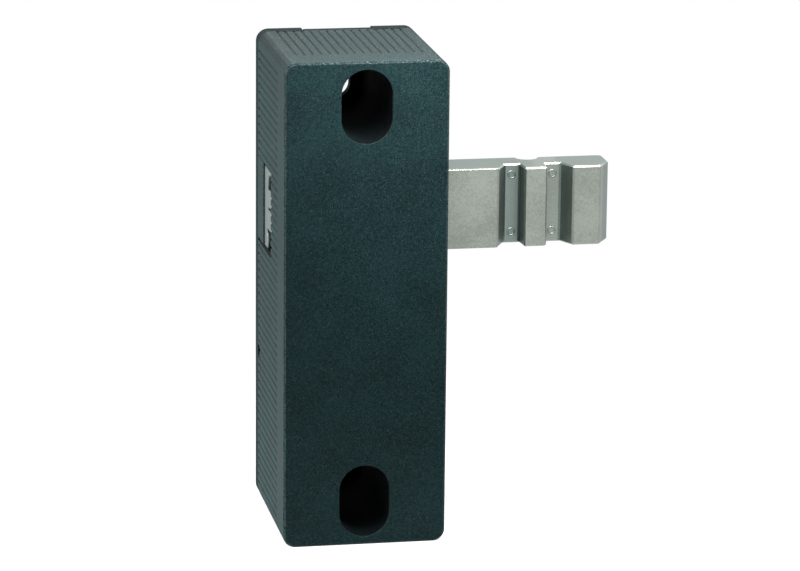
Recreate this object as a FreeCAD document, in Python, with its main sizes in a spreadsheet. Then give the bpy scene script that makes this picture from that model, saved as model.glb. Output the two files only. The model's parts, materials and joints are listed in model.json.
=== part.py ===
"""Guard-side half of a tongue interlock: a coded metal tongue that floats in a moulded
screw-on block.

Frame, in millimetres: X to the right, the way the tongue points; Y away from the person who
faces the guard; Z up. The origin is the middle of the two mounting slots on the block's back
plane, y = 0, so the block fills negative y. A "depth" below is a distance forward of that plane.
"""
import FreeCAD, Part
import math
import os

import Sketcher
from FreeCAD import Placement, Rotation, Vector

# ---------------------------------------------------------------- driving sizes

SIZES = [
    # the block
    ("housing_width", 40, "across the block, x"),
    ("housing_height", 120, "up the block, z"),
    ("block_depth", 46, "mounting plane to front face"),
    ("corner_radius", 3, "four long corners of the block"),
    ("face_edge_chamfer", 0.5, "rim of the front face"),
    ("cover_thickness", 4, "rear cover plate"),
    ("side_wall", 2.5, "moulded walls round the bay"),
    ("front_wall", 3, "moulded wall behind the front face"),
    # mounting screw pockets
    ("pocket_end_wall", 1.9, "end of the block to the end of a pocket"),
    ("pocket_width", 12.5, "takes the head and washer of the mounting screw"),
    ("pocket_length", 18.2, "lets the screw shift along the slot"),
    ("pocket_floor", 3, "plastic under the screw head"),
    ("pocket_wall", 2.25, "tube round each pocket"),
    ("slot_width", 6.5, "clears the mounting screw"),
    ("slot_length", 12.2, "end to end"),
    ("notch_depth", 2, "pry notch in the back edge of each end wall"),
    ("notch_wall", 2.5, "how far the pry notch reaches in"),
    ("seam_gap", 0.2, "between the rear cover and what it fits round"),
    ("lift_gap_length", 7, "gap under the rear cover, each side of a pry notch"),
    ("lift_gap_width", 0.8, "front to back"),
    ("lift_gap_drop", 0.8, "into the end of the block"),
    # the tongue
    ("tongue_height", 20, "bar section, z"),
    ("tongue_thickness", 12, "bar section, y"),
    ("tongue_reach", 45.4, "tip beyond the side of the block"),
    ("tail_recess", 0.4, "tail end inside the far side of the block"),
    ("tongue_level", 18.2, "pivot above the middle of the block"),
    ("tongue_depth", 18.5, "middle of the bar above the mounting plane"),
    ("float_gap", 0.85, "window above and below the bar"),
    ("face_gap", 0.3, "window in front of and behind the bar"),
    # coding of the tongue, set back from its tip
    ("bevel_length", 2.9, "lead-in bevel, along the bar"),
    ("bevel_drop", 4.8, "lead-in bevel, across the bar"),
    ("pad_length", 6.9, "flat between the bevel and the outer groove"),
    ("groove_width", 6.6, "mouth of each coding groove"),
    ("groove_drop", 4.7, "depth of each coding groove"),
    ("ramp_length", 2.3, "sloping wall of a groove"),
    ("shoulder_length", 0.4, "steep wall of a groove"),
    ("land_length", 5.6, "between the two grooves"),
    ("back_groove_radius", 2.6, "half-round groove across the back"),
    ("back_groove_setback", 19.2, "tip to the half-round groove"),
    ("heel_radius", 1.5, "back corner of the tip"),
    # pivot
    ("pin_diameter", 5, "pivot pin"),
    ("pin_length", 29, "pivot pin"),
    ("pin_chamfer", 0.5, "both ends of the pivot pin"),
    ("press_gap", 0.01, "pin or bush in its seat, radial"),
    ("running_gap", 0.03, "pin in the bushes, radial"),
    ("bush_wall", 1, "sleeve of a bush"),
    ("bush_sleeve", 4.5, "length of a bush under its flange"),
    ("flange_diameter", 11, "flange of a bush"),
    ("flange_thickness", 0.9, "flange of a bush"),
    ("flange_seat", 0.8, "flange recess in the tongue"),
    ("boss_wall", 2.5, "cover boss round the pivot pin"),
    # centring plungers and springs
    ("plunger_offset", 12.5, "from the pivot along the tongue"),
    ("plunger_diameter", 7, "guided part"),
    ("plunger_length", 5, "nose to spring shoulder"),
    ("nose_diameter", 1.6, "flat tip of the nose"),
    ("nose_height", 1.6, "cone of the nose"),
    ("stem_diameter", 3.2, "spigot inside the spring"),
    ("stem_length", 3, "spigot inside the spring"),
    ("nose_gap", 0.1, "nose to tongue at rest"),
    ("guide_gap", 0.2, "plunger in its trough"),
    ("trough_reach", 26, "tongue's middle line to the end of a trough"),
    ("spring_diameter", 5.4, "outside of the coil"),
    ("wire_diameter", 0.7, "spring wire"),
    ("spring_turns", 5, "coils"),
    ("tab_wall", 3, "side tab that closes the window behind the tongue"),
    ("tab_gap", 0.4, "under the side tab"),
    # bay and transponder
    ("bay_wall", 3, "from the bay to the troughs above it and the screw tube below it"),
    ("tag_diameter", 14, "transponder"),
    ("tag_thickness", 5, "transponder"),
    # cover screws
    ("screw_inset", 5.5, "from the sides and ends of the block"),
    ("screw_diameter", 3, "self-tapping screw"),
    ("screw_length", 14, "under the head"),
    ("screw_head_diameter", 5.6, "pan head"),
    ("screw_head_height", 1.6, "pan head"),
    ("screw_sink", 0.2, "head below the back plane"),
    ("screw_hole_gap", 0.2, "screw in the cover, radial"),
    # grip grooves round the block, front to back
    ("grip_pitch", 2.05, "between grip grooves"),
    ("grip_width", 0.9, "mouth of a grip groove"),
    ("grip_drop", 0.3, "depth of a grip groove"),
    ("grip_margin", 4, "plain stretch beside each long corner"),
    ("grip_setback", 0.8, "from the seam to the grooves"),
    ("plain_band", 10.5, "plain stretch behind the front face"),
    # seam notch in each long side
    ("seam_notch_level", -21, "middle of the notch, z"),
    ("seam_notch_height", 3, "along the seam"),
    ("seam_notch_depth", 2.5, "forward of the seam"),
    ("seam_notch_reach", 1, "into the side"),
]


class Size:
    """A length that knows both its value and its spreadsheet formula."""

    def __init__(self, value, formula):
        self.value = value
        self.formula = formula

    def joined(self, other, sign, value):
        return Size(value, f"({self.formula} {sign} {as_size(other).formula})")

    def __add__(self, other):
        return self.joined(other, "+", self.value + as_size(other).value)

    def __sub__(self, other):
        return self.joined(other, "-", self.value - as_size(other).value)

    def __mul__(self, other):
        return self.joined(other, "*", self.value * as_size(other).value)

    def __truediv__(self, other):
        return self.joined(other, "/", self.value / as_size(other).value)

    def __neg__(self):
        return Size(-self.value, f"(-1 * {self.formula})")

    def whole(self):
        return Size(math.floor(self.value), f"floor({self.formula})")


def as_size(number):
    return number if isinstance(number, Size) else Size(number, repr(number))


doc = FreeCAD.newDocument("TongueInterlock")
sheet = doc.addObject("Spreadsheet::Sheet", "Sizes")
named = {}
for row, (alias, number, note) in enumerate(SIZES, start=1):
    sheet.set(f"A{row}", alias)
    sheet.set(f"B{row}", str(number))
    sheet.setAlias(f"B{row}", alias)
    sheet.set(f"C{row}", note)
    named[alias] = Size(float(number), f"Sizes.{alias}")
doc.recompute()

# ---------------------------------------------------------------- sketch and feature helpers

ORIGIN_POINT = -1
START, END, CENTRE = range(1, 4)
ZERO = as_size(0)


def size(alias):
    return named[alias]


def bind(feature, property_name, amount):
    """Tie one property of a feature to the sheet."""
    feature.setExpression(property_name, as_size(amount).formula)


def new_body(label):
    body = doc.addObject("PartDesign::Body", label)
    body.Label = label
    return body


def new_sketch(body, name, role, offset=ZERO):
    """A sketch on one of the body's origin planes, moved along the plane's normal."""
    sketch = body.newObject("Sketcher::SketchObject", name)
    plane = next(f for f in body.Origin.OriginFeatures if f.Role == role)
    sketch.AttachmentSupport = [(plane, "")]
    sketch.MapMode = "FlatFace"
    bind(sketch, "AttachmentOffset.Base.z", offset)
    return sketch


def front_sketch(body, name, depth=ZERO):
    """Seen from the front: sketch x is X, sketch y is Z, at a depth before the back plane."""
    return new_sketch(body, name, "XZ_Plane", depth)


def hold(sketch, kind, geometry, point, amount):
    """Fix a point's signed DistanceX or DistanceY from the sketch's origin."""
    index = sketch.addConstraint(
        Sketcher.Constraint(kind, ORIGIN_POINT, START, geometry, point, as_size(amount).value))
    sketch.setExpression(f"Constraints[{index}]", as_size(amount).formula)


def pin_down(sketch, geometry, point, across, up):
    """Fix one point of the sketch at (across, up) from the sketch's origin."""
    hold(sketch, "DistanceX", geometry, point, across)
    hold(sketch, "DistanceY", geometry, point, up)


def set_radius(sketch, geometry, radius):
    index = sketch.addConstraint(Sketcher.Constraint("Radius", geometry, as_size(radius).value))
    sketch.setExpression(f"Constraints[{index}]", as_size(radius).formula)


def polygon(sketch, corners):
    """A closed outline of straight runs through the given corners."""
    first = sketch.GeometryCount
    points = [Vector(as_size(x).value, as_size(y).value, 0) for x, y in corners]
    for i, start in enumerate(points):
        sketch.addGeometry(Part.LineSegment(start, points[(i + 1) % len(points)]))
    for i, (across, up) in enumerate(corners):
        here, after = first + i, first + (i + 1) % len(corners)
        sketch.addConstraint(Sketcher.Constraint("Coincident", here, END, after, START))
        pin_down(sketch, here, START, across, up)


def rectangle(sketch, left, right, bottom, top):
    polygon(sketch, [(left, bottom), (right, bottom), (right, top), (left, top)])


def circle(sketch, across, up, diameter):
    radius = as_size(diameter) / 2
    centre = Vector(as_size(across).value, as_size(up).value, 0)
    index = sketch.addGeometry(Part.Circle(centre, Vector(0, 0, 1), radius.value))
    pin_down(sketch, index, CENTRE, across, up)
    set_radius(sketch, index, radius)


def arc(sketch, across, up, radius, start_angle, end_angle):
    centre = Vector(as_size(across).value, as_size(up).value, 0)
    full = Part.Circle(centre, Vector(0, 0, 1), as_size(radius).value)
    index = sketch.addGeometry(
        Part.ArcOfCircle(full, math.radians(start_angle), math.radians(end_angle)))
    pin_down(sketch, index, CENTRE, across, up)
    return index


def line(sketch, start, end):
    return sketch.addGeometry(Part.LineSegment(Vector(*start, 0), Vector(*end, 0)))


def stadium(sketch, up, width, length):
    """An upright slot on the middle line: two half circles joined by straight sides."""
    radius, half_run = width / 2, (length - width) / 2
    high, low = up + half_run, up - half_run
    top = arc(sketch, ZERO, high, radius, 0, 180)
    bottom = arc(sketch, ZERO, low, radius, 180, 360)
    side = radius.value
    left = line(sketch, (-side, high.value), (-side, low.value))
    right = line(sketch, (side, low.value), (side, high.value))
    for one, one_end, other, other_end in ((top, END, left, START), (left, END, bottom, START),
                                           (bottom, END, right, START), (right, END, top, START)):
        sketch.addConstraint(Sketcher.Constraint("Tangent", one, one_end, other, other_end))
    sketch.addConstraint(Sketcher.Constraint("Equal", top, bottom))
    set_radius(sketch, top, radius)


def tombstone(sketch, radius, middle, edge):
    """A half circle about (0, middle) with straight sides that run out to the given edge."""
    outward = 1 if edge.value > middle.value else -1
    turn = (180, 360) if outward > 0 else (0, 180)
    round_end = arc(sketch, ZERO, middle, radius, *turn)
    near, far = (-radius.value * outward, radius.value * outward)
    first = line(sketch, (far, middle.value), (far, edge.value))
    across = line(sketch, (far, edge.value), (near, edge.value))
    last = line(sketch, (near, edge.value), (near, middle.value))
    sketch.addConstraint(Sketcher.Constraint("Tangent", round_end, END, first, START))
    sketch.addConstraint(Sketcher.Constraint("Coincident", first, END, across, START))
    sketch.addConstraint(Sketcher.Constraint("Coincident", across, END, last, START))
    sketch.addConstraint(Sketcher.Constraint("Tangent", last, END, round_end, START))
    sketch.addConstraint(Sketcher.Constraint("Horizontal", across))
    sketch.addConstraint(Sketcher.Constraint("Vertical", first))
    sketch.addConstraint(Sketcher.Constraint("Vertical", last))
    set_radius(sketch, round_end, radius)
    hold(sketch, "DistanceY", across, START, edge)


def pad(body, name, sketch, length, backwards=False):
    """Add material along the sketch's normal, or against it when backwards."""
    feature = body.newObject("PartDesign::Pad", name)
    feature.Profile = sketch
    feature.Reversed = backwards
    bind(feature, "Length", length)
    return feature


def pocket(body, name, sketch, length, forwards=False):
    """Cut against the sketch's normal, or along it when forwards, and prove that it cut."""
    doc.recompute()
    before = body.Shape.Volume
    feature = body.newObject("PartDesign::Pocket", name)
    feature.Profile = sketch
    feature.Reversed = forwards
    bind(feature, "Length", length)
    doc.recompute()
    if not body.Shape.Volume < before:
        raise RuntimeError(f"{name} cut nothing")
    return feature


def ease_edges(body, name, amount, chosen, kind="Fillet"):
    """Fillet or chamfer the edges of the body that the given test picks."""
    doc.recompute()
    base = body.Tip
    edges = [f"Edge{i}" for i, edge in enumerate(base.Shape.Edges, start=1) if chosen(edge)]
    feature = body.newObject(f"PartDesign::{kind}", name)
    feature.Base = (base, edges)
    bind(feature, {"Fillet": "Radius", "Chamfer": "Size"}[kind], amount)
    return feature


def place(piece, x, y, z, turned=False):
    """Stand a piece made at the origin in its place, upside down when turned."""
    if turned:
        piece.Placement = Placement(Vector(), Rotation(Vector(1, 0, 0), 180))
    for axis, amount in zip("xyz", (x, y, z)):
        bind(piece, f"Placement.Base.{axis}", amount)


# ---------------------------------------------------------------- places that pieces share

half_width = size("housing_width") / 2
half_height = size("housing_height") / 2
pocket_up = half_height - size("pocket_end_wall") - size("pocket_length") / 2
pocket_arc = (size("pocket_length") - size("pocket_width")) / 2
tube_radius = size("pocket_width") / 2 + size("pocket_wall")
tongue_up = size("tongue_level")
channel_half = size("tongue_height") / 2 + size("float_gap")
channel_front = size("tongue_depth") + size("tongue_thickness") / 2 + size("face_gap")
channel_back = size("tongue_depth") - size("tongue_thickness") / 2 - size("face_gap")
trough_half = size("plunger_diameter") / 2 + size("guide_gap")
bay_top = tongue_up - size("trough_reach") - size("bay_wall")
bay_bottom = size("bay_wall") - (pocket_up - pocket_arc - tube_radius)
cover_screws_at = [((half_width - size("screw_inset")) * side,
                    (half_height - size("screw_inset")) * end)
                   for end in (1, -1) for side in (-1, 1)]
screw_head_room = size("screw_sink") + size("screw_head_height")
pin_back_end = channel_front + size("boss_wall") * 3 - size("pin_length")


def block_outline(sketch):
    """The block's outline seen from the front; its corners are rounded afterwards."""
    rectangle(sketch, -half_width, half_width, -half_height, half_height)


def long_corner(edge):
    """True for the block's four front-to-back corner edges."""
    box = edge.BoundBox
    straight_back = box.XLength < 0.001 and box.ZLength < 0.001
    at_side = abs(abs(box.XMin) - half_width.value) < 0.001
    at_end = abs(abs(box.ZMin) - half_height.value) < 0.001
    return straight_back and at_side and at_end


# ---------------------------------------------------------------- housing

def cut_grip_grooves(body):
    """Shallow V grooves from near the seam towards the front, evenly spaced round the block."""
    start, pitch = size("cover_thickness") + size("grip_setback"), size("grip_pitch")
    half_mouth, drop = size("grip_width") / 2, size("grip_drop")
    for name, reach, span, axis in (("side", half_width, half_height, "V_Axis"),
                                    ("end", half_height, half_width, "H_Axis")):
        gaps = ((span - size("grip_margin")) * 2 / pitch).whole()
        first = -(gaps * pitch / 2)
        outline = front_sketch(body, f"{name}_groove_outline", start)
        for side in (-1, 1):
            mouth, bottom = reach * side, (reach - drop) * side
            corners = [(mouth, first - half_mouth), (bottom, first), (mouth, first + half_mouth)]
            if axis == "H_Axis":
                corners = [(up, across) for across, up in corners]
            polygon(outline, corners)
        groove = pocket(body, f"{name}_groove", outline,
                        size("block_depth") - size("plain_band") - start, forwards=True)
        row = body.newObject("PartDesign::LinearPattern", f"{name}_grooves")
        row.Originals = [groove]
        row.Direction = (outline, [axis])
        bind(row, "Length", gaps * pitch)
        bind(row, "Occurrences", gaps + 1)
        body.Tip = row


def make_housing():
    """Moulded block, open at the back: screw tubes, tongue window, plunger troughs and bay."""
    body = new_body("housing")
    seam = size("cover_thickness")
    block = front_sketch(body, "block_outline", seam)
    block_outline(block)
    pad(body, "block", block, size("block_depth") - seam)
    ease_edges(body, "long_corners", size("corner_radius"), long_corner)

    feet = front_sketch(body, "tube_feet_outline", seam)
    for end in (1, -1):
        tombstone(feet, tube_radius, (pocket_up - pocket_arc) * end, half_height * end)
    pad(body, "tube_feet", feet, seam, backwards=True)
    notches = front_sketch(body, "pry_notch_outline")
    for end in (1, -1):
        outer, inner = half_height * end, (half_height - size("notch_wall")) * end
        rectangle(notches, -tube_radius, tube_radius, inner, outer)
    pocket(body, "pry_notches", notches, size("notch_depth"), forwards=True)

    pockets = front_sketch(body, "screw_pocket_outline", size("block_depth"))
    slots = front_sketch(body, "screw_slot_outline", size("pocket_floor"))
    for end in (1, -1):
        stadium(pockets, pocket_up * end, size("pocket_width"), size("pocket_length"))
        stadium(slots, pocket_up * end, size("slot_width"), size("slot_length"))
    pocket(body, "screw_pockets", pockets, size("block_depth") - size("pocket_floor"))
    pocket(body, "screw_slots", slots, size("pocket_floor"))

    window = front_sketch(body, "tongue_window_outline", seam)
    rectangle(window, -half_width, half_width, tongue_up - channel_half, tongue_up + channel_half)
    pocket(body, "tongue_window", window, channel_front - seam, forwards=True)
    troughs = front_sketch(body, "trough_outline", seam)
    for side in (-1, 1):
        middle = size("plunger_offset") * side
        rectangle(troughs, middle - trough_half, middle + trough_half,
                  tongue_up - size("trough_reach"), tongue_up + size("trough_reach"))
    pocket(body, "plunger_troughs", troughs, size("tongue_depth") + trough_half - seam,
           forwards=True)

    bay = front_sketch(body, "bay_outline", seam)
    bay_side = half_width - size("side_wall")
    rectangle(bay, -bay_side, bay_side, bay_bottom, bay_top)
    pocket(body, "bay", bay, size("block_depth") - size("front_wall") - seam, forwards=True)

    pin_hole = front_sketch(body, "pin_hole_outline", channel_front)
    circle(pin_hole, ZERO, tongue_up, size("pin_diameter") + size("press_gap") * 2)
    pocket(body, "pin_hole", pin_hole, size("boss_wall") * 3, forwards=True)
    pilots = front_sketch(body, "pilot_outline", seam)
    for across, up in cover_screws_at:
        circle(pilots, across, up, size("screw_diameter") + size("press_gap") * 2)
    pocket(body, "screw_pilots", pilots, screw_head_room + size("screw_length") - seam,
           forwards=True)

    side_notches = front_sketch(body, "seam_notch_outline", seam)
    half_notch = size("seam_notch_height") / 2
    for side in (-1, 1):
        rectangle(side_notches, (half_width - size("seam_notch_reach")) * side, half_width * side,
                  size("seam_notch_level") - half_notch, size("seam_notch_level") + half_notch)
    pocket(body, "seam_notches", side_notches, size("seam_notch_depth"), forwards=True)

    lift_gaps = front_sketch(body, "lift_gap_outline", seam)
    near = tube_radius + size("seam_gap")
    for end in (1, -1):
        outer, inner = half_height * end, (half_height - size("lift_gap_drop")) * end
        for side in (-1, 1):
            rectangle(lift_gaps, near * side, (near + size("lift_gap_length")) * side, inner, outer)
    pocket(body, "lift_gaps", lift_gaps, size("lift_gap_width"), forwards=True)

    cut_grip_grooves(body)

    front = -size("block_depth").value
    inside = 1

    def face_rim(edge):
        box = edge.BoundBox
        on_front = abs(box.YMin - front) < 0.001 and abs(box.YMax - front) < 0.001
        outermost = (max(abs(box.XMin), abs(box.XMax)) > half_width.value - inside
                     or max(abs(box.ZMin), abs(box.ZMax)) > half_height.value - inside)
        return on_front and outermost

    ease_edges(body, "face_rim", size("face_edge_chamfer"), face_rim, "Chamfer")
    return body


# ---------------------------------------------------------------- rear cover

def make_rear_cover():
    """Plate that closes the block; its tabs fill the windows behind the tongue."""
    body = new_body("rear_cover")
    thickness = size("cover_thickness")
    plate = front_sketch(body, "plate_outline")
    block_outline(plate)
    pad(body, "plate", plate, thickness)
    ease_edges(body, "long_corners", size("corner_radius"), long_corner)
    openings = front_sketch(body, "tube_opening_outline")
    for end in (1, -1):
        tombstone(openings, tube_radius + size("seam_gap"), (pocket_up - pocket_arc) * end,
                  half_height * end)
    pocket(body, "tube_openings", openings, thickness, forwards=True)

    low, high = tongue_up - channel_half + size("tab_gap"), tongue_up + channel_half
    high = high - size("seam_gap")
    bridge = front_sketch(body, "bridge_outline", thickness)
    rectangle(bridge, -half_width, half_width, low, high)
    pad(body, "bridge", bridge, channel_back - thickness)
    ribs = front_sketch(body, "trough_rib_outline", thickness)
    rib_half = trough_half - size("seam_gap")
    rib_reach = size("trough_reach") - size("seam_gap")
    for side in (-1, 1):
        middle = size("plunger_offset") * side
        for level in (-1, 1):
            rectangle(ribs, middle - rib_half, middle + rib_half,
                      tongue_up + channel_half * level, tongue_up + rib_reach * level)
    pad(body, "trough_ribs", ribs, size("tongue_depth") - trough_half - thickness)

    core = front_sketch(body, "bridge_core_outline", channel_back)
    core_side, wall = half_width - size("tab_wall"), size("pocket_wall")
    rectangle(core, -core_side, core_side, low + wall, high - wall)
    circle(core, ZERO, tongue_up, size("pin_diameter") + size("boss_wall") * 2)
    pocket(body, "bridge_core", core, channel_back - thickness)
    pin_hole = front_sketch(body, "pin_hole_outline", channel_back)
    circle(pin_hole, ZERO, tongue_up, size("pin_diameter") + size("press_gap") * 2)
    pocket(body, "pin_hole", pin_hole, channel_back - pin_back_end)

    holes = front_sketch(body, "screw_hole_outline")
    heads = front_sketch(body, "screw_head_outline")
    for across, up in cover_screws_at:
        circle(holes, across, up, size("screw_diameter") + size("screw_hole_gap") * 2)
        circle(heads, across, up, size("screw_head_diameter") + size("screw_hole_gap") * 2)
    pocket(body, "screw_holes", holes, thickness, forwards=True)
    pocket(body, "screw_heads", heads, screw_head_room, forwards=True)
    return body


# ---------------------------------------------------------------- tongue and its pivot

def make_tongue():
    """Cast bar with a bevelled tip, two coding grooves in front and a round one behind."""
    body = new_body("tongue")
    half = size("tongue_thickness") / 2
    front, back = -(size("tongue_depth") + half), -(size("tongue_depth") - half)
    tip, tail = half_width + size("tongue_reach"), size("tail_recess") - half_width
    floor = front + size("groove_drop")
    pad_outer = tip - size("bevel_length")
    pad_inner = pad_outer - size("pad_length")
    outer_groove = pad_inner - size("groove_width")
    inner_groove = outer_groove - size("land_length")
    heel = inner_groove - size("groove_width")
    profile = new_sketch(body, "bar_outline", "XY_Plane", tongue_up - size("tongue_height") / 2)
    polygon(profile, [
        (tail, front),
        (heel, front),
        (heel + size("ramp_length"), floor),
        (inner_groove - size("shoulder_length"), floor),
        (inner_groove, front),
        (outer_groove, front),
        (outer_groove + size("shoulder_length"), floor),
        (pad_inner - size("ramp_length"), floor),
        (pad_inner, front),
        (pad_outer, front),
        (tip, front + size("bevel_drop")),
        (tip, back),
        (tail, back)])
    pad(body, "bar", profile, size("tongue_height"))

    def tip_heel(edge):
        box = edge.BoundBox
        return (box.XLength < 0.001 and box.YLength < 0.001
                and abs(box.XMin - tip.value) < 0.001 and abs(box.YMin - back.value) < 0.001)

    ease_edges(body, "tip_heel", size("heel_radius"), tip_heel)
    round_groove = new_sketch(body, "back_groove_outline", "XY_Plane",
                              tongue_up - size("tongue_height") / 2)
    circle(round_groove, tip - size("back_groove_setback"), back, size("back_groove_radius") * 2)
    pocket(body, "back_groove", round_groove, size("tongue_height"), forwards=True)

    front_face, back_face = size("tongue_depth") + half, size("tongue_depth") - half
    sleeve = size("pin_diameter") + (size("running_gap") + size("bush_wall")) * 2
    bore = front_sketch(body, "bush_bore_outline", back_face)
    circle(bore, ZERO, tongue_up, sleeve + size("press_gap") * 2)
    pocket(body, "bush_bore", bore, size("tongue_thickness"), forwards=True)
    seat_diameter = size("flange_diameter") + size("press_gap") * 2
    for name, depth, forwards in (("front_flange_seat", front_face, False),
                                  ("rear_flange_seat", back_face, True)):
        seat = front_sketch(body, name + "_outline", depth)
        circle(seat, ZERO, tongue_up, seat_diameter)
        pocket(body, name, seat, size("flange_seat"), forwards=forwards)
    return body


def make_bush(label, flange_back, sleeve_back):
    """Flanged plain bush, pressed into the tongue from one face; depths are of the rear ends."""
    body = new_body(label)
    bore = size("pin_diameter") + size("running_gap") * 2
    flange = front_sketch(body, "flange_outline", flange_back)
    circle(flange, ZERO, tongue_up, size("flange_diameter"))
    pad(body, "flange", flange, size("flange_thickness"))
    sleeve = front_sketch(body, "sleeve_outline", sleeve_back)
    circle(sleeve, ZERO, tongue_up, bore + size("bush_wall") * 2)
    pad(body, "sleeve", sleeve, size("bush_sleeve"))
    hole = front_sketch(body, "bore_outline", size("tongue_depth") - size("tongue_thickness"))
    circle(hole, ZERO, tongue_up, bore)
    pocket(body, "bore", hole, size("tongue_thickness") * 2, forwards=True)
    return body


def make_bushes():
    half = size("tongue_thickness") / 2
    front_seat = size("tongue_depth") + half - size("flange_seat")
    rear_seat = size("tongue_depth") - half + size("flange_seat")
    return [make_bush("front_bush", front_seat, front_seat - size("bush_sleeve")),
            make_bush("rear_bush", rear_seat - size("flange_thickness"), rear_seat)]


def make_pivot_pin():
    """Steel pin held in the housing and the cover boss; the tongue rocks on it."""
    body = new_body("pivot_pin")
    section = front_sketch(body, "pin_outline", pin_back_end)
    circle(section, ZERO, tongue_up, size("pin_diameter"))
    pad(body, "shank", section, size("pin_length"))
    ease_edges(body, "end_chamfers", size("pin_chamfer"), lambda edge: len(edge.Vertexes) == 1,
               "Chamfer")
    return body


# ---------------------------------------------------------------- plungers and springs

def make_plunger(label, side, level):
    """Turned plunger with a blunt nose that bears on the tongue and a spigot for its spring."""
    body = new_body(label)
    radius, stem, tip = (size(name) / 2 for name in
                         ("plunger_diameter", "stem_diameter", "nose_diameter"))
    shoulder, top = size("plunger_length"), size("plunger_length") + size("stem_length")
    section = new_sketch(body, "half_section", "XZ_Plane")
    polygon(section, [(ZERO, ZERO), (tip, ZERO), (radius, size("nose_height")),
                      (radius, shoulder), (stem, shoulder), (stem, top), (ZERO, top)])
    turned = body.newObject("PartDesign::Revolution", "turned")
    turned.Profile = section
    turned.ReferenceAxis = (section, ["V_Axis"])
    turned.Angle = 360
    nose_up = tongue_up + (size("tongue_height") / 2 + size("nose_gap")) * level
    place(body, size("plunger_offset") * side, -size("tongue_depth"), nose_up, turned=level < 0)
    return body


def make_spring(label, side, level):
    """Compression spring between a plunger's shoulder and the end of its trough."""
    steps_per_turn, wire_sides = 10, 5
    wire = size("wire_diameter").value / 2
    coil = (size("spring_diameter").value - size("wire_diameter").value) / 2
    seat = size("tongue_height") / 2 + size("nose_gap") + size("plunger_length")
    room = (size("trough_reach") - seat).value
    steps = int(size("spring_turns").value) * steps_per_turn
    rise = room - 2 * wire
    path = []
    for step in range(steps + 1):
        angle = 2 * math.pi * step / steps_per_turn
        path.append(Vector(coil * math.cos(angle), coil * math.sin(angle),
                           wire + rise * step / steps))
    run = (path[1] - path[0]).normalize()
    sideways = run.cross(Vector(1, 0, 0)).normalize()
    outward = sideways.cross(run).normalize()
    rim = []
    for corner in range(wire_sides + 1):
        angle = 2 * math.pi * corner / wire_sides
        rim.append(path[0] + (outward * math.cos(angle) + sideways * math.sin(angle)) * wire)
    coil_sweep = Part.BRepOffsetAPI.MakePipeShell(Part.makePolygon(path))
    coil_sweep.setTransitionMode(1)
    coil_sweep.add(Part.makePolygon(rim))
    coil_sweep.build()
    coil_sweep.makeSolid()
    piece = doc.addObject("Part::Feature", label)
    piece.Label = label
    piece.Shape = coil_sweep.shape()
    seat_up = tongue_up + seat * level
    place(piece, size("plunger_offset") * side, -size("tongue_depth"), seat_up, turned=level < 0)
    return piece


def make_centring():
    pieces = []
    for level_name, level in (("upper", 1), ("lower", -1)):
        for side_name, side in (("left", -1), ("right", 1)):
            pieces.append(make_plunger(f"{level_name}_{side_name}_plunger", side, level))
            pieces.append(make_spring(f"{level_name}_{side_name}_spring", side, level))
    return pieces


# ---------------------------------------------------------------- cover screws and transponder

def cylinder(name, diameter, length, across, depth, up):
    """A cylinder whose axis runs forward from the given depth."""
    piece = doc.addObject("Part::Cylinder", name)
    bind(piece, "Radius", as_size(diameter) / 2)
    bind(piece, "Height", length)
    piece.Placement = Placement(Vector(), Rotation(Vector(1, 0, 0), 90))
    for axis, amount in zip("xyz", (across, -depth, up)):
        bind(piece, f"Placement.Base.{axis}", amount)
    return piece


def make_cover_screws():
    """Four self-tapping screws that hold the cover, driven from the back."""
    screws = []
    for number, (across, up) in enumerate(cover_screws_at, start=1):
        head = cylinder(f"screw_head_{number}", size("screw_head_diameter"),
                        size("screw_head_height"), across, size("screw_sink"), up)
        shank = cylinder(f"screw_shank_{number}", size("screw_diameter"), size("screw_length"),
                         across, screw_head_room, up)
        screw = doc.addObject("Part::Fuse", f"screw_{number}")
        screw.Base, screw.Tool = head, shank
        screws.append(screw)
    group = doc.addObject("Part::Compound", "cover_screws")
    group.Label = "cover_screws"
    group.Links = screws
    return group


def make_transponder():
    """Potted code carrier, bonded to the bay's wall on the side the tongue points to."""
    body = new_body("transponder")
    wall = half_width - size("side_wall")
    disc = new_sketch(body, "disc_outline", "YZ_Plane", wall - size("tag_thickness"))
    circle(disc, -size("tongue_depth"), (bay_top + bay_bottom) / 2, size("tag_diameter"))
    pad(body, "disc", disc, size("tag_thickness"))
    return body


# ---------------------------------------------------------------- build, check, write

pieces = [make_housing(), make_rear_cover(), make_tongue(), make_pivot_pin(), *make_bushes(),
          *make_centring(), make_cover_screws(), make_transponder()]
doc.recompute()

for item in doc.Objects:
    if "Invalid" in item.State or "Error" in item.State:
        raise RuntimeError(f"{item.Label} failed: {item.State}")
for piece in pieces:
    if piece.Shape.isNull() or not piece.Shape.isValid():
        raise RuntimeError(f"{piece.Label} has no valid shape")

os.makedirs("parts", exist_ok=True)
for piece in pieces:
    piece.Shape.exportStep(f"parts/{piece.Label}.step")
    print(f"{piece.Label}: {len(piece.Shape.Solids)} solid(s), {piece.Shape.Volume:.1f} mm3")
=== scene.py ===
"""Guard-side half of a tongue interlock: a coded metal tongue in a moulded screw-on block."""

import json
import math

import bmesh
import bpy
from mathutils import Matrix, Vector

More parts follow.
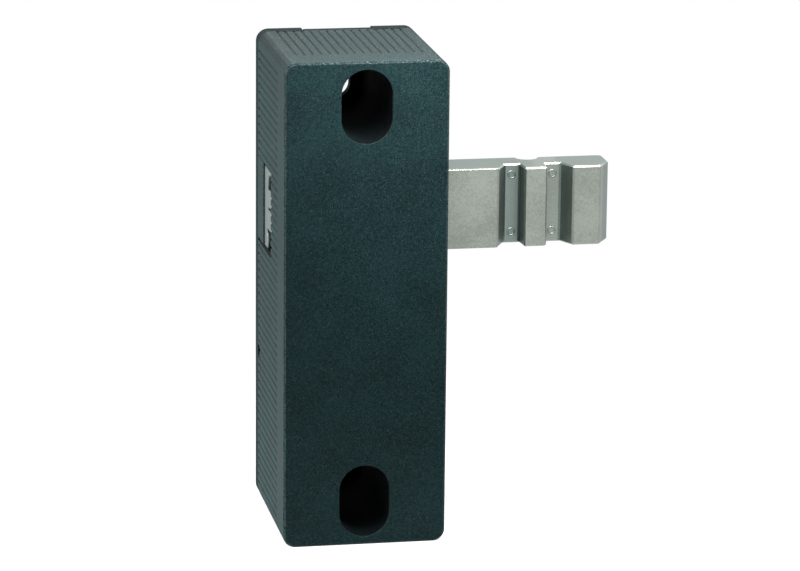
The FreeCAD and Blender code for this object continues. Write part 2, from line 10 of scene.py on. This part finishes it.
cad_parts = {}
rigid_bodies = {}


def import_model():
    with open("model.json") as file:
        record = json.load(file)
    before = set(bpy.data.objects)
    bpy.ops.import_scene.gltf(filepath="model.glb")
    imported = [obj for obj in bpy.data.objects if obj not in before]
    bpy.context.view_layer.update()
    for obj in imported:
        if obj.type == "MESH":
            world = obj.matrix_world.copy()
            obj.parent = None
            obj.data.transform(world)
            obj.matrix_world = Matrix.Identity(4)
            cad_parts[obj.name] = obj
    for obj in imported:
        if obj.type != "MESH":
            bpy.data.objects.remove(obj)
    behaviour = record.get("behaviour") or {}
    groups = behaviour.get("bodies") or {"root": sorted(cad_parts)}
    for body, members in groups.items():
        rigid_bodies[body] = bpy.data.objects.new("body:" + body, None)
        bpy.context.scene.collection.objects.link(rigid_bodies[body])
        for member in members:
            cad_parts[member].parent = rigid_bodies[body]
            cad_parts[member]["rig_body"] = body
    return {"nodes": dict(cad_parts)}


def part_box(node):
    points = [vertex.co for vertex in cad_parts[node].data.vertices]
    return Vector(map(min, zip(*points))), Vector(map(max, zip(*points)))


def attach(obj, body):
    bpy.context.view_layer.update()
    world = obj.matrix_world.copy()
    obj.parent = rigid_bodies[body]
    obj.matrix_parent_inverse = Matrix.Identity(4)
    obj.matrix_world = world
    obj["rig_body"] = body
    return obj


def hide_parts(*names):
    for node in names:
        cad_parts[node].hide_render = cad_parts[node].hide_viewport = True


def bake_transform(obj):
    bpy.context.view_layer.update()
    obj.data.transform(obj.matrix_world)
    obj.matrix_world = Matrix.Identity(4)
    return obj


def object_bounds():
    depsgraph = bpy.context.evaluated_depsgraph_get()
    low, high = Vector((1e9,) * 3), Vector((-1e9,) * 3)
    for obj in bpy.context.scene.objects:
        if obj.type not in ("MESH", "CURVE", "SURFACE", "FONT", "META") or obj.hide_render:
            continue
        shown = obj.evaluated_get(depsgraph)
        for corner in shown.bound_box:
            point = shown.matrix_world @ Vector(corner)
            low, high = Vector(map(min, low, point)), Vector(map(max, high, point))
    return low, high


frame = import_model()
cad_low, cad_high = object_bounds()
MM = 0.001


# ---------------------------------------------------------------- housing
# The block is one moulding of black polyamide with short glass fibre in it. The mould leaves a fine
# dull grain and, behind a plain band, the grip grooves. Handling has worn the rims of the front face
# and of the two screw pockets a little paler, and part of that paler colour is a painted highlight.

BLOCK_FRONT, BLOCK_BACK = cad_low.y, cad_high.y
HALF_WIDTH, HALF_HEIGHT = -cad_low.x, cad_high.z  # cad_high.x is the tongue's tip
COVER_SEAM = -4 * MM
NYLON_SHADE = (20.5, 37.5, 39)
EDGE_ROUNDING = 0.12 * MM
SLIT_INNER_END, SLIT_OUTER_END = 8.6 * MM, 15.6 * MM
SLIT_FRONT, SLIT_BACK = -4.8 * MM, -4.02 * MM
SLIT_DEPTH = 4 * MM
OVERRUN = 1 * MM  # how far a cutter stands out of what it cuts
WELD = 0.002 * MM  # points nearer than this become one
FLAT, SHARP = math.radians(0.3), math.radians(32)  # faces join below, edges round above


class Wire:
    """A shader socket. Signs between wires and numbers add Math nodes, so 1 - mask works."""

    def __init__(self, tree, socket=None):
        self.tree, self.socket = tree, socket

    def node(self, kind, settings=None, sockets=None, output=0):
        """Any other node: its settings first, then the values or wires of its sockets."""
        made = self.tree.nodes.new("ShaderNode" + kind)
        for name, setting in (settings or {}).items():
            setattr(made, name, setting)
        for name, value in (sockets or {}).items():
            if isinstance(value, Wire):
                self.tree.links.new(value.socket, made.inputs[name])
            else:
                made.inputs[name].default_value = value
        return Wire(self.tree, made.outputs[output]) if made.outputs else None

    def math(self, operation, *values, clamp=False):
        return self.node("Math", {"operation": operation, "use_clamp": clamp},
                         dict(enumerate(values)))

    def __add__(self, other):
        return self.math("ADD", self, other)

    __radd__ = __add__

    def __sub__(self, other):
        return self.math("SUBTRACT", self, other)

    def __rsub__(self, other):
        return self.math("SUBTRACT", other, self)

    def __neg__(self):
        return 0 - self

    def __mul__(self, other):
        return self.math("MULTIPLY", self, other)

    __rmul__ = __mul__

    def __abs__(self):
        return self.math("ABSOLUTE", self)

    def least(self, other):
        return self.math("MINIMUM", self, other)

    def most(self, other):
        return self.math("MAXIMUM", self, other)

    def clamped(self):
        return self.math("ADD", self, 0, clamp=True)

    def part(self, axis):
        """The X, Y or Z of a vector."""
        return self.node("SeparateXYZ", {}, {"Vector": self}, output=axis)

    def between(self, low, high):
        """0 up to low, 1 from high on, and a smooth rise from one to the other."""
        return self.node("MapRange", {"interpolation_type": "SMOOTHSTEP"},
                         {"Value": self, "From Min": low, "From Max": high})

    def blend(self, first, second):
        """Colour that goes from first, where this wire is 0, to second, where it is 1."""
        return self.node("Mix", {"data_type": "RGBA"}, {0: self, 6: first, 7: second}, output=2)


def tint(red, green, blue, strength=1.0):
    """Colour from a 0 to 255 swatch, as a shader reads it."""
    def linear(level):
        level = min(255, level * strength) / 255
        return level / 12.92 if level <= 0.04045 else ((level + 0.055) / 1.055) ** 2.4
    return (linear(red), linear(green), linear(blue), 1)


def new_finish(name):
    """An empty material and a wire into its tree."""
    finish = bpy.data.materials.new(name)
    finish.use_nodes = True
    finish.node_tree.nodes.clear()
    return finish, Wire(finish.node_tree)


def surface(start, colour, roughness, bump, depth, painted_shade=None, **even):
    """Principled surface of a finish; even holds what is the same all over, and the mask after depth
    is where painted shade turns the surface near black, on walls that little light reaches."""
    sockets = {"Base Color": colour, "Roughness": roughness,
               "Normal": start.node("Bump", {}, {"Height": bump, "Distance": depth})}
    sockets.update({name.replace("_", " "): value for name, value in even.items()})
    shader = start.node("BsdfPrincipled", {}, sockets)
    if painted_shade is not None:
        # painted shade: a near-black surface, mixed in where little light would reach
        shade_black = start.node("BsdfPrincipled", {}, {"Base Color": tint(9, 14, 16), "Roughness": 0.85,
                                                 "Specular IOR Level": 0.02})
        shader = start.node("MixShader", {}, {0: painted_shade, 1: shader, 2: shade_black})
    start.node("OutputMaterial", {}, {"Surface": shader})


def grain(start, place, size, detail=2.0, roughness=0.5):
    """Cloudy noise whose patches are about size across."""
    return start.node("TexNoise", {}, {"Vector": place, "Scale": 1 / size, "Detail": detail,
                                       "Roughness": roughness}, output="Fac")


def painted_wall_shade(place, facing):
    """Painted shade: how far a wall is turned near black because little light gets to it, inside the
    block, in its grooves and along the rear cover's rim at the seam.
    """
    sideways = HALF_WIDTH - abs(place.part("X"))
    upright = HALF_HEIGHT - abs(place.part("Z"))
    endways = (place.part("Y") - BLOCK_FRONT).least(BLOCK_BACK - place.part("Y"))
    buried = sideways.least(upright).least(endways)
    inside = buried.between(0.5 * MM, 1.2 * MM)
    grooved = buried.between(0.1 * MM, 0.28 * MM)
    seam = place.part("Y").between(COVER_SEAM - 0.2 * MM, COVER_SEAM + 0.1 * MM)
    cover_rim = seam * (1 - facing.between(0.5, 0.9))
    return (inside * 0.9).most(cover_rim * 0.6).most(grooved * 0.3)


def moulded_nylon(name, shade):
    """Dull grained nylon with glass flecks in it, painted brighter on upward faces as glints. Its
    rims are a little paler, partly from handling wear and partly as a painted highlight, and painted
    shade darkens its inner walls, grooves and the cover's rim.
    """
    finish, start = new_finish(name)
    place = start.node("TexCoord", output="Object")
    normal = start.node("TexCoord", output="Normal")
    facing = abs(normal.part("Y"))
    clouds = grain(start, place, 12 * MM)
    mottle = grain(start, place, 0.9 * MM, 3)
    pores = grain(start, place, 0.36 * MM, 1)
    level = (clouds * 0.2 + mottle * 0.3 + pores * 0.5).between(0.34, 0.66)
    base = level.blend(tint(*shade, strength=0.72), tint(*shade, strength=1.28))

    # glass flecks all over, painted much brighter on upward faces as glints of the light from above
    flecks = grain(start, place, 0.24 * MM, 0).between(0.64, 0.78)
    upward_glint = normal.part("Z").between(0.2, 0.9)
    base = (flecks * (0.07 + upward_glint * 0.36)).blend(base, tint(142, 158, 156))

    # paler rims: partly wear from handling, partly a painted highlight along the chamfered edges
    rim = facing.between(0.2, 0.45) * (1 - facing.between(0.86, 0.97))
    rubbed_and_highlit = rim * (mottle * 0.6 + pores * 0.7).between(0.45, 0.85)
    base = (rubbed_and_highlit * 0.09).blend(base, tint(150, 160, 158))

    dullness = 0.50 + mottle * 0.12 + clouds * 0.06 - rubbed_and_highlit * 0.08
    surface(start, base, dullness, pores * 0.6 + mottle * 0.4, 0.05 * MM,
            painted_wall_shade(place, facing), Specular_IOR_Level=0.033, Sheen_Weight=0.06,
            Sheen_Roughness=0.4)
    return finish


def placed(name, data):
    """An object of a mesh, lamp or camera, put into the scene."""
    made = bpy.data.objects.new(name, data)
    bpy.context.scene.collection.objects.link(made)
    return made


def closed_mesh(name, form):
    """The mesh of a finished form, with its faces turned outwards."""
    bmesh.ops.recalc_face_normals(form, faces=form.faces)
    mesh = bpy.data.meshes.new(name)
    form.to_mesh(mesh)
    form.free()
    return mesh


def carved(mesh, cutters):
    """The mesh with the closed cutter meshes taken out of it."""
    blank = placed(mesh.name, mesh)
    tools = []
    for cutter in cutters:
        tools.append(placed(cutter.name, cutter))
        cut = blank.modifiers.new(cutter.name, "BOOLEAN")
        cut.operation, cut.solver, cut.object = "DIFFERENCE", "EXACT", tools[-1]
    ready = blank.evaluated_get(bpy.context.evaluated_depsgraph_get())
    result = bpy.data.meshes.new_from_object(ready)
    result.name = mesh.name
    for spent in [blank, *tools]:
        bpy.data.objects.remove(spent)
    return result


def rectangle(left, right, bottom, top):
    """The four corners of an upright outline."""
    return [(left, bottom), (right, bottom), (right, top), (left, top)]


def prism(name, outline, axis, low, high):
    """Closed mesh of an outline in two axes, run along the third from low to high."""
    def corner(first, second, along):
        rest = [first, second]
        return tuple(along if letter == axis else rest.pop(0) for letter in "xyz")
    form = bmesh.new()
    ends = [[form.verts.new(corner(*flat, along)) for flat in outline] for along in (low, high)]
    for end in ends:
        form.faces.new(end)
    for here in range(len(outline)):
        after = (here + 1) % len(outline)
        form.faces.new((ends[0][here], ends[0][after], ends[1][after], ends[1][here]))
    return closed_mesh(name, form)


def softened(node, name, rounds, cutters, segments=2, crisp=math.pi):
    """A copy of a CAD solid, cut and with its sharp edges rounded, which stands for the solid.
    Each of rounds is a radius and the test that chooses its edges."""
    solid = frame["nodes"][node]
    mesh = carved(solid.data.copy(), cutters)
    mesh.name = name
    form = bmesh.new()
    form.from_mesh(mesh)
    bmesh.ops.remove_doubles(form, verts=form.verts, dist=WELD)
    bmesh.ops.dissolve_limit(form, angle_limit=FLAT, verts=form.verts, edges=form.edges)
    for radius, chosen in rounds:
        sharp = [edge for edge in form.edges if edge.is_manifold
                 and edge.calc_face_angle(0) > SHARP and chosen(edge)]
        bmesh.ops.bevel(form, geom=sharp, offset=radius, offset_type="OFFSET",
                        segments=segments, profile=0.5, affect="EDGES", clamp_overlap=True,
                        harden_normals=False)
    for face in form.faces:
        face.smooth = True
    for edge in form.edges:
        edge.smooth = edge.calc_face_angle(0) < crisp
    form.to_mesh(mesh)
    form.free()
    piece = placed(name, mesh)
    weigh = piece.modifiers.new("even_faces", "WEIGHTED_NORMAL")
    weigh.keep_sharp = True
    weigh.weight = 90
    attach(piece, solid["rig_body"])
    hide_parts(node)
    return piece


def coat(piece, finish):
    """Gives a piece its finish."""
    piece.data.materials.clear()
    piece.data.materials.append(finish)


def lift_slits():
    """Cutters that run the gaps under the rear cover deep into the end walls."""
    cutters = []
    for end in (1, -1):
        for side in (1, -1):
            outline = rectangle(SLIT_INNER_END * side, SLIT_OUTER_END * side,
                                SLIT_FRONT, SLIT_BACK)
            low, high = sorted(((HALF_HEIGHT + OVERRUN) * end, (HALF_HEIGHT - SLIT_DEPTH) * end))
            cutters.append(prism(f"lift_slit_{end}_{side}", outline, "z", low, high))
    return cutters


nylon = moulded_nylon("black_glass_nylon", NYLON_SHADE)
housing = softened("housing", "moulded_housing", [(EDGE_ROUNDING, lambda edge: True)],
                   lift_slits())
coat(housing, nylon)

# ---------------------------------------------------------------- rear cover
# A plate of the same nylon, let into the back of the block and held by four screws. A tab on
# each side closes the window behind the tongue, and the mould's ejector pins left shallow round
# prints in its back.

EJECTOR_PRINT_RADIUS, EJECTOR_PRINT_DEPTH = 2.5 * MM, 0.18 * MM
EJECTOR_COLUMNS, EJECTOR_ROWS = (-11, 11), (-30, -4, 37)
CIRCLE_STEPS = 32
TAB_FRONT, TAB_FOOT = -12.2 * MM, 7.75 * MM
TAB_SLOT_HEIGHT, TAB_SLOT_DEPTH = 0.45 * MM, 2.5 * MM
TAB_LIP_ROUNDING = 0.38 * MM
ON_LIP = 0.05 * MM


def ejector_cutters():
    """Round cutters for the ejector pins' prints."""
    cutters = []
    for column in EJECTOR_COLUMNS:
        for row in EJECTOR_ROWS:
            circle = [(column * MM + EJECTOR_PRINT_RADIUS * math.cos(math.tau * step / CIRCLE_STEPS),
                       row * MM + EJECTOR_PRINT_RADIUS * math.sin(math.tau * step / CIRCLE_STEPS))
                      for step in range(CIRCLE_STEPS)]
            cutters.append(prism(f"cover_print_{column}_{row}", circle, "y",
                                 BLOCK_BACK - EJECTOR_PRINT_DEPTH, BLOCK_BACK + OVERRUN))
    return cutters


def tab_foot_cutters():
    """The side tabs stop short of the window's sill, which leaves a narrow open slot."""
    cutters = []
    for side in (1, -1):
        left, right = sorted(((HALF_WIDTH - TAB_SLOT_DEPTH) * side, (HALF_WIDTH + OVERRUN) * side))
        outline = rectangle(left, right, TAB_FOOT - OVERRUN, TAB_FOOT + TAB_SLOT_HEIGHT)
        cutters.append(prism(f"tab_foot_{side}", outline, "y", TAB_FRONT - OVERRUN,
                             COVER_SEAM - 0.3 * MM))
    return cutters


def at_tab_lip(edge):
    """Whether an edge is the long outer one of a side tab, next to the tongue."""
    return all(abs(abs(vert.co.x) - HALF_WIDTH) < ON_LIP and abs(vert.co.y - TAB_FRONT) < ON_LIP
               for vert in edge.verts)


cover = softened("rear_cover", "moulded_rear_cover",
                 [(TAB_LIP_ROUNDING, at_tab_lip), (EDGE_ROUNDING, lambda edge: not at_tab_lip(edge))],
                 ejector_cutters() + tab_foot_cutters())
coat(cover, nylon)

# ---------------------------------------------------------------- tongue
# One zinc die casting, nickelled and tumbled, so it is satin all over with rounded edges. The
# gate was broken off its tail, which stays ragged where it shows in the left window. Ejector
# pins of the die left a ringed print near each end of both coding grooves.

tongue_low, tongue_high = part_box("tongue")
TONGUE_ROUNDING, TAIL_ROUNDING = 0.36 * MM, 0.12 * MM
TONGUE_CRISP = math.radians(24)
# millimetres down from the top and back from the front; a corner at -1 is out in front
TAIL_BREAKS = (
    ((0.5, -1), (1.2, 5.2), (2.6, 6.1), (5.0, 6.8), (4.6, 3.7), (4.9, -1)),
    ((8.8, -1), (9.4, 6.5), (10.1, 6.6), (9.8, 4.2), (10.0, -1)),
    ((14.7, -1), (15.1, 9.2), (16.0, 7.2), (18.5, 6.8), (20.6, 7.4), (20.6, -1)))
BREAK_DEPTHS = (2.4 * MM, 2.4 * MM, 6 * MM)
BITE_SHADE_TO, LAND, OUTER_RAMP = -14 * MM, 45 * MM, 52.5 * MM  # along the bar from the pivot
GROOVE_DROP = 4.7 * MM
RING_COLUMNS, RING_INSETS = (51.3 * MM, 41.0 * MM), (2.7 * MM, 17.2 * MM)
RING_RADIUS, RING_LIP, RING_HEIGHT = 0.88 * MM, 0.22 * MM, 0.11 * MM
RING_TURNS, LIP_STEPS = 28, 6


def tail_break(index, corners):
    """Cutter for one ragged bite out of the tail."""
    outline = [(tongue_low.y + back * MM, tongue_high.z - down * MM) for down, back in corners]
    return prism(f"tail_break_{index}", outline, "x", tongue_low.x - OVERRUN,
                 tongue_low.x + BREAK_DEPTHS[index])


def at_tail(edge):
    """Whether an edge reaches into the ragged end of the bar."""
    return min(vert.co.x for vert in edge.verts) < tongue_low.x + max(BREAK_DEPTHS) + 0.1 * MM


def satin_casting(name):
    """Satin nickel, with painted shade on what lies behind its front face, in the grooves and on
    flanks that face left, a painted highlight along its top edge, and painted shade inside the tail's
    bites.
    """
    finish, start = new_finish(name)
    place = start.node("TexCoord", output="Object")
    normal = start.node("TexCoord", output="Normal")
    clouds = grain(start, place, 9 * MM)
    sand = grain(start, place, 0.45 * MM, 3, 0.6)
    level = (clouds * 0.4 + sand * 0.6).between(0.35, 0.65)
    base = level.blend(tint(137, 143, 136), tint(155, 162, 154))

    along = place.part("X")
    past_land = along.between(LAND, LAND + 3 * MM)
    outer_groove = past_land * (1 - along.between(OUTER_RAMP, OUTER_RAMP + 1 * MM))
    behind_face = place.part("Y") - tongue_low.y
    # painted shade: surfaces more than about half a millimetre behind the front face are darker, the
    # outer groove less so
    set_back_shade = behind_face.between(0.4 * MM, 2.5 * MM) * (1 - outer_groove * 0.75)
    base = (set_back_shade * 0.75).blend(base, tint(118, 132, 128))

    # painted highlight: the chamfers along the top edges that face up and forward are painted pale
    # cream
    below_top = tongue_high.z - place.part("Z")
    top_edge_highlight = (normal.part("Z").between(0.25, 0.5) * (-normal.part("Y")).between(0.45, 0.6)
                * (1 - below_top.between(0.6 * MM, 0.9 * MM)))
    base = (top_edge_highlight * 0.9).blend(base, tint(222, 214, 200))

    shaded_flank = (-normal.part("X")).between(0.3, 0.8) * behind_face.between(0.2 * MM, 1 * MM)
    base = (shaded_flank * (1 - past_land) * 0.7).blend(base, tint(62, 78, 78))

    # painted shade inside the tail's bites, from just behind the end of the bar
    bite_shade = ((along - tongue_low.x).between(0.2 * MM, 0.9 * MM)
            * (1 - along.between(BITE_SHADE_TO, BITE_SHADE_TO + 2 * MM)))
    base = (bite_shade * 0.85).blend(base, tint(38, 42, 42))
    surface(start, base, 0.36 + sand * 0.14, sand, 0.03 * MM, Metallic=1.0)
    return finish


def turned_rows(form, middle, profile, turns):
    """Rows of points round an axis along y; the profile goes out from the axis and along it."""
    rows = []
    for turn in range(turns):
        around = math.tau * turn / turns
        rows.append([form.verts.new((middle.x + out * math.cos(around), middle.y + along,
                                     middle.z + out * math.sin(around)))
                     for out, along in profile])
    return rows


def skin(form, rows):
    """Faces between neighbouring rows, and from the last row to the first."""
    for here, there in zip(rows, rows[1:] + rows[:1]):
        for step in range(len(here) - 1):
            form.faces.new((here[step], here[step + 1], there[step + 1], there[step]))


def ringed_prints():
    """Raised round lips on the floors of both grooves."""
    form = bmesh.new()
    lip = [(RING_RADIUS + RING_LIP * math.cos(math.tau * step / LIP_STEPS),
            RING_HEIGHT * math.sin(math.tau * step / LIP_STEPS)) for step in range(LIP_STEPS)]
    for column in RING_COLUMNS:
        for inset in RING_INSETS:
            middle = Vector((column, tongue_low.y + GROOVE_DROP, tongue_high.z - inset))
            rows = turned_rows(form, middle, lip, RING_TURNS)
            skin(form, [row + row[:1] for row in rows])
    mesh = closed_mesh("ejector_prints", form)
    mesh.shade_smooth()
    return placed("ejector_prints", mesh)


tongue = softened("tongue", "cast_tongue",
                  [(TONGUE_ROUNDING, lambda edge: not at_tail(edge)), (TAIL_ROUNDING, at_tail)],
                  [tail_break(*item) for item in enumerate(TAIL_BREAKS)], segments=1,
                  crisp=TONGUE_CRISP)
nickel = satin_casting("satin_nickel")
coat(tongue, nickel)
prints = ringed_prints()
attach(prints, "tongue")
coat(prints, nickel)

# ---------------------------------------------------------------- pivot pin and bushes
# A ground steel pin runs from front to back through the tongue, which floats on it in two
# flanged bushes of filled bearing plastic. The bushes are pressed into the bar from both faces.


def plain_finish(name, colour, roughness, metallic):
    """One even colour with a fine grain in it."""
    finish, start = new_finish(name)
    fine = grain(start, start.node("TexCoord", output="Object"), 0.5 * MM)
    base = fine.blend(tint(*colour, strength=0.92), tint(*colour, strength=1.06))
    surface(start, base, roughness + fine * 0.1, fine, 0.02 * MM, Metallic=metallic)
    return finish


def recoat(node, finish):
    """A new finish for a CAD piece that is shown as it is."""
    for slot in frame["nodes"][node].material_slots:
        slot.material = finish


recoat("pivot_pin", plain_finish("ground_steel", (165, 168, 170), 0.25, 1.0))
bearing = plain_finish("bearing_polymer", (176, 160, 104), 0.4, 0.0)
recoat("front_bush", bearing)
recoat("rear_bush", bearing)

# ---------------------------------------------------------------- plungers and springs
# Four domed acetal plungers bear on the bar, above and below it on both sides of the pin. A
# stainless compression spring behind each one, in a trough of the housing, pushes it against the
# bar, so that the tongue comes back to the middle.

WIRE_CRISP = math.radians(50)
guide = plain_finish("guide_polymer", (205, 203, 192), 0.4, 0.0)
spring_steel = plain_finish("spring_wire", (150, 152, 155), 0.25, 1.0)


def coil(level, side):
    """A smooth-shaded copy of a spring's CAD mesh, shown in place of the CAD solid."""
    node = f"{level}_{side}_spring"
    mesh = frame["nodes"][node].data.copy()
    mesh.name = f"{level}_{side}_coil"
    form = bmesh.new()
    form.from_mesh(mesh)
    bmesh.ops.remove_doubles(form, verts=form.verts, dist=WELD)
    form.to_mesh(mesh)
    form.free()
    mesh.shade_smooth()
    mesh.set_sharp_from_angle(angle=WIRE_CRISP)
    piece = placed(mesh.name, mesh)
    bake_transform(piece)
    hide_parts(node)
    coat(piece, spring_steel)


for level in ("upper", "lower"):
    for side in ("left", "right"):
        recoat(f"{level}_{side}_plunger", guide)
        coil(level, side)

# ---------------------------------------------------------------- transponder
# The code carrier that the switch reads, a coil and a chip cast into a disc of black resin. It is
# bonded to the housing's inner wall, on the side that the tongue points to.

recoat("transponder", plain_finish("potting", (40, 42, 44), 0.3, 0.0))

# ---------------------------------------------------------------- cover screws
# Four zinc-plated self-tapping screws with pan heads and cross recesses. They are driven from
# the back, through the rear cover and into pilot holes in the housing.

HEAD_RADIUS, SHANK_RADIUS, ROOT_RADIUS = 2.8 * MM, 1.5 * MM, 1.15 * MM
HEAD_HEIGHT = 1.6 * MM
PITCH, POINT_LENGTH = 1.2 * MM, 2 * MM
CROSS_HALF_SPAN, CROSS_HALF_WIDTH, CROSS_DEPTH = 1.6 * MM, 0.38 * MM, 1.0 * MM
SCREW_CRISP = math.radians(38)


def turned(name, middle, profile, turns=40):
    """Closed mesh turned about an axis along y; the profile goes from pole to pole."""
    form = bmesh.new()
    poles = [form.verts.new((middle.x, middle.y + profile[end][1], middle.z)) for end in (0, -1)]
    rows = turned_rows(form, middle, profile[1:-1], turns)
    for here, there in zip(rows, rows[1:] + rows[:1]):
        form.faces.new((poles[0], here[0], there[0]))
        form.faces.new((poles[1], there[-1], here[-1]))
    skin(form, rows)
    return closed_mesh(name, form)


def screw_profile(crown, point):
    """Out from the axis and along it, from the crown of the head to the point of the thread."""
    profile = [(0, crown), (1.0 * MM, crown - 0.02 * MM), (1.9 * MM, crown - 0.12 * MM),
               (2.45 * MM, crown - 0.34 * MM), (2.74 * MM, crown - 0.72 * MM),
               (HEAD_RADIUS, crown - 1.1 * MM), (HEAD_RADIUS, crown - HEAD_HEIGHT),
               (SHANK_RADIUS, crown - HEAD_HEIGHT)]
    root = crown - HEAD_HEIGHT - PITCH
    while root - PITCH > point + POINT_LENGTH:
        profile += [(ROOT_RADIUS, root), (SHANK_RADIUS, root - PITCH * 0.5)]
        root -= PITCH
    return profile + [(1.1 * MM, point + 1.6 * MM), (0.5 * MM, point + 0.3 * MM), (0, point)]


def recessed_screw(across, up, crown, point):
    """One screw with its cross recess cut."""
    arms = []
    for wide, tall in ((CROSS_HALF_SPAN, CROSS_HALF_WIDTH), (CROSS_HALF_WIDTH, CROSS_HALF_SPAN)):
        outline = rectangle(across - wide, across + wide, up - tall, up + tall)
        arms.append(prism("cross_arm", outline, "y", crown - CROSS_DEPTH, crown + OVERRUN))
    return carved(turned("screw", Vector((across, 0, up)), screw_profile(crown, point)), arms)


def cover_screw_set():
    """All four screws in one mesh, each where its CAD solid is."""
    low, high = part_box("cover_screws")
    form = bmesh.new()
    for across in (low.x + HEAD_RADIUS, high.x - HEAD_RADIUS):
        for up in (low.z + HEAD_RADIUS, high.z - HEAD_RADIUS):
            form.from_mesh(recessed_screw(across, up, high.y, low.y))
    mesh = closed_mesh("cover_screw_set", form)
    mesh.shade_smooth()
    mesh.set_sharp_from_angle(angle=SCREW_CRISP)
    return placed("cover_screw_set", mesh)


screw_set = cover_screw_set()
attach(screw_set, "block")
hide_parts("cover_screws")
coat(screw_set, plain_finish("zinc_screw", (170, 174, 176), 0.32, 1.0))

# ---------------------------------------------------------------- studio air and floor
# The block stands on white paper in a white room. The lens and every reflection see both as
# plain white, and the paper keeps the block's shadow. Further out it is black to the softboxes,
# so that only the paper next to the block throws light back.

FLOOR_REACH = 3.0
PAPER_END, SHADOW_END = (0.09, 0.14), (0.07, 0.17)


def seen_white(start):
    """1 for what the lens, a reflection or clear glass sees, 0 for what lights the block."""
    camera_ray, glossy_ray, clear_ray = (
        start.node("LightPath", output=f"Is {kind} Ray")
        for kind in ("Camera", "Glossy", "Transmission"))
    return (camera_ray + glossy_ray + clear_ray).clamped()


def studio_air():
    """A room that is white to look at and throws next to no light on the block."""
    world = bpy.data.worlds.new("studio_air")
    bpy.context.scene.world = world
    world.use_nodes = True
    world.node_tree.nodes.clear()
    start = Wire(world.node_tree)
    air = start.node("Background", {}, {"Color": (1, 1, 1, 1),
                                        "Strength": 0.05 + seen_white(start) * 0.95})
    start.node("OutputWorld", {}, {"Surface": air})


def white_paper():
    """Paper that goes over into black card, and its shadow into the white of the room."""
    finish, start = new_finish("white_paper")
    seen = seen_white(start)
    away = start.node("VectorMath", {"operation": "LENGTH"},
                      {0: start.node("TexCoord", output="Object")}, output="Value")
    card = away.between(*PAPER_END).blend((0.8, 0.8, 0.8, 1), (0.03, 0.03, 0.03, 1))
    paper = start.node("BsdfDiffuse", {}, {"Color": seen.blend(card, (0.5, 0.5, 0.5, 1))})
    glow = start.node("Emission", {}, {"Color": (1, 1, 1, 1), "Strength": seen * 0.7})
    lit_paper = start.node("AddShader", {}, {0: paper, 1: glow})
    white = start.node("Emission", {}, {"Color": (1, 1, 1, 1), "Strength": 1.0})
    both = start.node("MixShader", {}, {0: away.between(*SHADOW_END) * seen, 1: lit_paper,
                                        2: white})
    start.node("OutputMaterial", {}, {"Surface": both})
    return finish


def studio_floor():
    mesh = bpy.data.meshes.new("studio_floor")
    sides = rectangle(-FLOOR_REACH, FLOOR_REACH, -FLOOR_REACH, FLOOR_REACH)
    mesh.from_pydata([(x, y, cad_low.z) for x, y in sides], [], [(0, 1, 2, 3)])
    mesh.materials.append(white_paper())
    placed("studio_floor", mesh)


studio_air()
studio_floor()

# ---------------------------------------------------------------- softboxes
# A small softbox close over the front edge lights the front's upper end. A large one on the left
# lights that side, and one high behind the block, on the right, lights its top and the tongue's.


def softbox(name, place, target, size, power):
    """An oblong lamp that looks at its target; places and sizes in metres, power in watts."""
    light = bpy.data.lights.new(name, "AREA")
    light.shape, light.size, light.size_y = "RECTANGLE", *size
    light.energy = power
    lamp = placed(name, light)
    lamp.location = place
    lamp.rotation_euler = (Vector(target) - Vector(place)).to_track_quat("-Z", "Y").to_euler()


softbox("overhead_softbox", place=(0.035, -0.118, 0.140), target=(0.02, -0.04, 0.06),
        size=(0.10, 0.06), power=0.64)
softbox("left_softbox", place=(-0.6, 0.08, 0.06), target=(0, -0.02, 0), size=(0.5, 0.5),
        power=12.4)
softbox("rear_softbox", place=(0.45, 0.25, 0.5), target=(0, 0, 0), size=(0.3, 0.3), power=3.2)

# ---------------------------------------------------------------- camera
# A long lens a metre away, a little to the left of the block and above it, looks down at its
# front and its left side.

LENS_PLACE = Vector((-0.1632, -0.9641, 0.2412))
AHEAD, UPWARDS = Vector((0.178, 0.953, -0.2452)).normalized(), Vector((0.0357, 0.2427, 0.9694))

camera_data = bpy.data.cameras.new("camera")
camera_data.lens = 180
camera_data.sensor_width = 36
camera_data.clip_start, camera_data.clip_end = 0.05, 20
camera = placed("camera", camera_data)
bpy.context.scene.camera = camera
rightwards = AHEAD.cross(UPWARDS).normalized()
axes = Matrix((rightwards, rightwards.cross(AHEAD), -AHEAD)).transposed()
camera.matrix_world = Matrix.Translation(LENS_PLACE) @ axes.to_4x4()

bpy.context.scene.view_settings.view_transform = "Standard"
